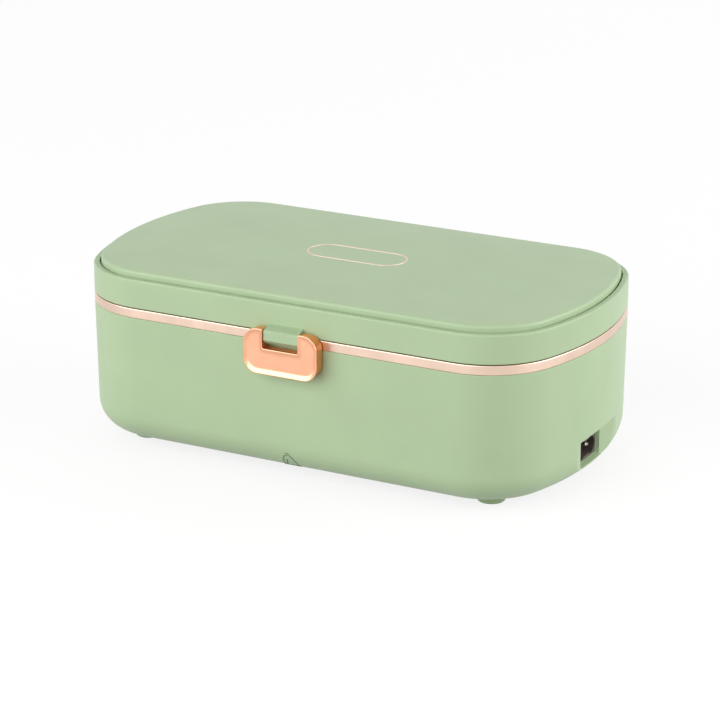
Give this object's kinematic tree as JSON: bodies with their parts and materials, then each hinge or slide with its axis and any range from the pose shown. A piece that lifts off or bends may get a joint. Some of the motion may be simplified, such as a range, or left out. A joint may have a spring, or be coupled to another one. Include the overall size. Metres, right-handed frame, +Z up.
{
  "type": "electric lunch box",
  "caption": "Plug-in heated lunch box with a crowned hinged lid, rose-gold trim band and front clasp, lift-out steel tray with sealed cover, and mains inlet on one end.",
  "frame": {"origin": "on the table, under the middle of the case", "axes": "+X along the case towards the mains inlet, -Y towards the clasp, +Z up"},
  "size_m": [0.235, 0.143, 0.0848],
  "materials": {
    "sage_shell": "fine satin moulding",
    "rose_trim": "polished rose-gold plating",
    "rose_lever": "satin copper coating",
    "cream_plastic": "satin heat-proof plastic",
    "clear_cover": "milky food-grade plastic",
    "green_rubber": "soft matte",
    "white_silicone": "soft matte",
    "tray_steel": "brushed stainless sheet",
    "screw_steel": "zinc plated",
    "plate_aluminium": "fine turned",
    "element_white": "insulating film and ceramic",
    "black_bakelite": "moulded",
    "pin_metal": "nickel plated",
    "wire_sleeve": "silicone sleeved wire",
    "lamp_lens": "tinted lens"
  },
  "bodies": {
    "base": {"body_shell": "sage_shell", "trim_band": "rose_trim", "well_liner": "cream_plastic", "base_cover": "sage_shell", "base_screws": "screw_steel", "rubber_feet": "green_rubber", "heat_plate": "plate_aluminium", "plate_seal": "white_silicone", "plate_nuts": "screw_steel", "ptc_heater": "element_white", "heater_clamp": "tray_steel", "thermostat": "black_bakelite", "thermal_fuse": "element_white", "fuse_clip": "tray_steel", "element_screws": "screw_steel", "inlet_socket": "black_bakelite", "inlet_pins": "pin_metal", "inlet_screws": "screw_steel", "wiring_leads": "wire_sleeve", "indicator_lamp": "lamp_lens", "lamp_holder": "cream_plastic", "hinge_pins": "screw_steel"},
    "tray": {"food_tray": "tray_steel"},
    "tray_top": {"tray_cover": "clear_cover", "tray_seal": "white_silicone"},
    "plug": {"steam_plug": "white_silicone"},
    "lid": {"lid_shell": "sage_shell", "lid_panel": "sage_shell", "lid_liner": "cream_plastic", "lid_seal": "white_silicone", "lid_screws": "screw_steel", "clasp_pin": "screw_steel"},
    "clasp": {"clasp_lever": "rose_lever", "clasp_cover": "rose_trim"}
  },
  "joints": [
    {"name": "lid_hinge", "type": "hinge", "parent": "base", "child": "lid", "pos_m": [0, 0.0685, 0.0674], "axis": [-1, 0, 0], "range_deg": [0, 105]},
    {"name": "clasp_hinge", "type": "hinge", "parent": "lid", "child": "clasp", "pos_m": [0, -0.0679, 0.068], "axis": [-1, 0, 0], "range_deg": [0, 95]},
    {"name": "tray_lift", "type": "slide", "parent": "base", "child": "tray", "axis": [0, 0, 1], "range_m": [0, 0.003]},
    {"name": "tray_cover_lift", "type": "slide", "parent": "tray", "child": "tray_top", "axis": [0, 0, 1], "range_m": [0, 0.002]},
    {"name": "steam_plug_lift", "type": "slide", "parent": "tray_top", "child": "plug", "axis": [0, 0, 1], "range_m": [0, 0.0012]}
  ]
}
